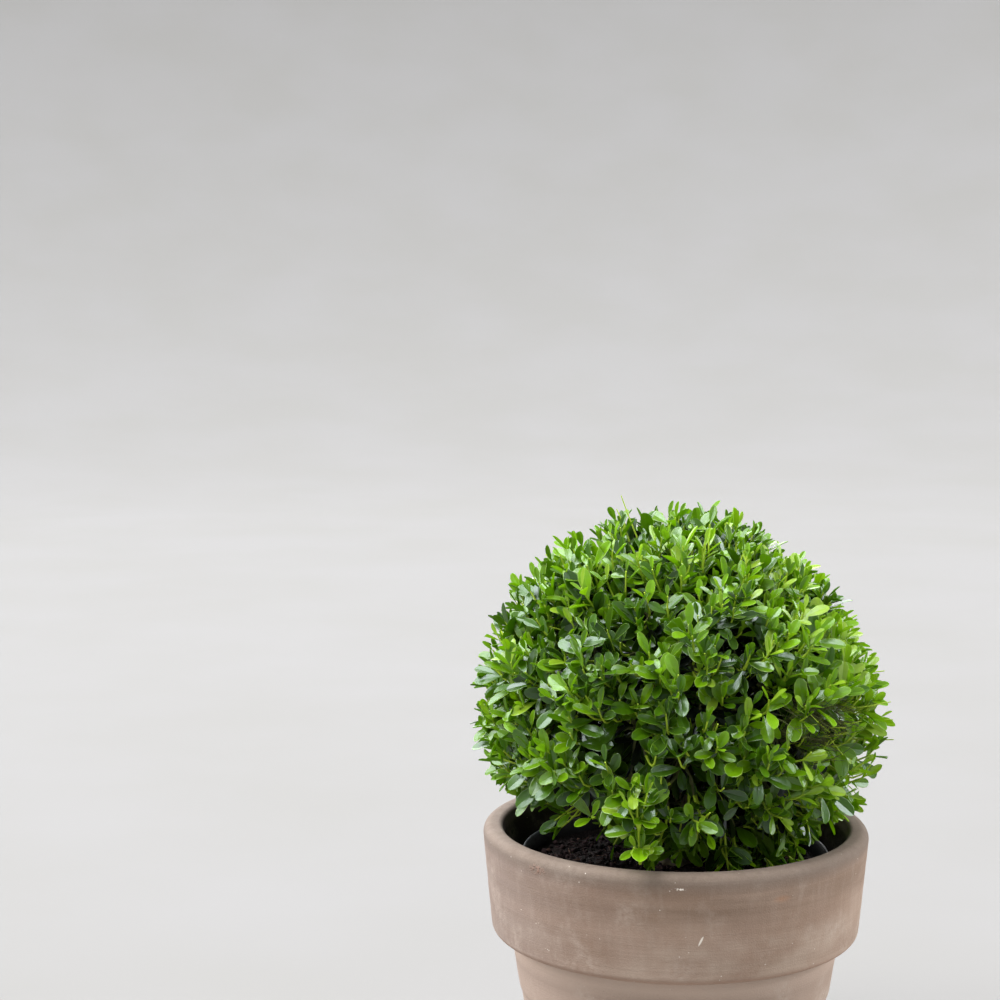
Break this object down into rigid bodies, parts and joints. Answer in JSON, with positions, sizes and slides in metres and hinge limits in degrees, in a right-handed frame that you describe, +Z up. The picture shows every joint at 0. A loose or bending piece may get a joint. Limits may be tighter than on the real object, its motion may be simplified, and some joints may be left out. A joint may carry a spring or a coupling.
{
  "type": "potted japanese holly",
  "caption": "Evergreen shrub clipped to a ball, growing in a nursery container that stands inside a flared clay pot with a deep collar.",
  "frame": {"origin": "centre of the clay pot's flat underside", "axes": "+Z up; the picture was taken from the -Y side, and +X is to the right in it"},
  "size_m": [0.3083, 0.32, 0.5026],
  "materials": {
    "fired_clay": "matt, weathered",
    "black_plastic": "satin",
    "compost": "rough, damp",
    "bark": "fine, dull",
    "leaves": "glossy"
  },
  "bodies": {
    "root": {"clay_pot": "fired_clay", "nursery_container": "black_plastic", "compost": "compost", "trunk": "bark", "bough_leader": "bark", "foliage_top": "leaves", "bough_side_1": "bark", "foliage_side_1": "leaves", "bough_side_2": "bark", "foliage_side_2": "leaves", "bough_side_3": "bark", "foliage_side_3": "leaves", "bough_side_4": "bark", "foliage_side_4": "leaves", "bough_side_5": "bark", "foliage_side_5": "leaves", "bough_side_6": "bark", "foliage_side_6": "leaves"}
  },
  "joints": []
}
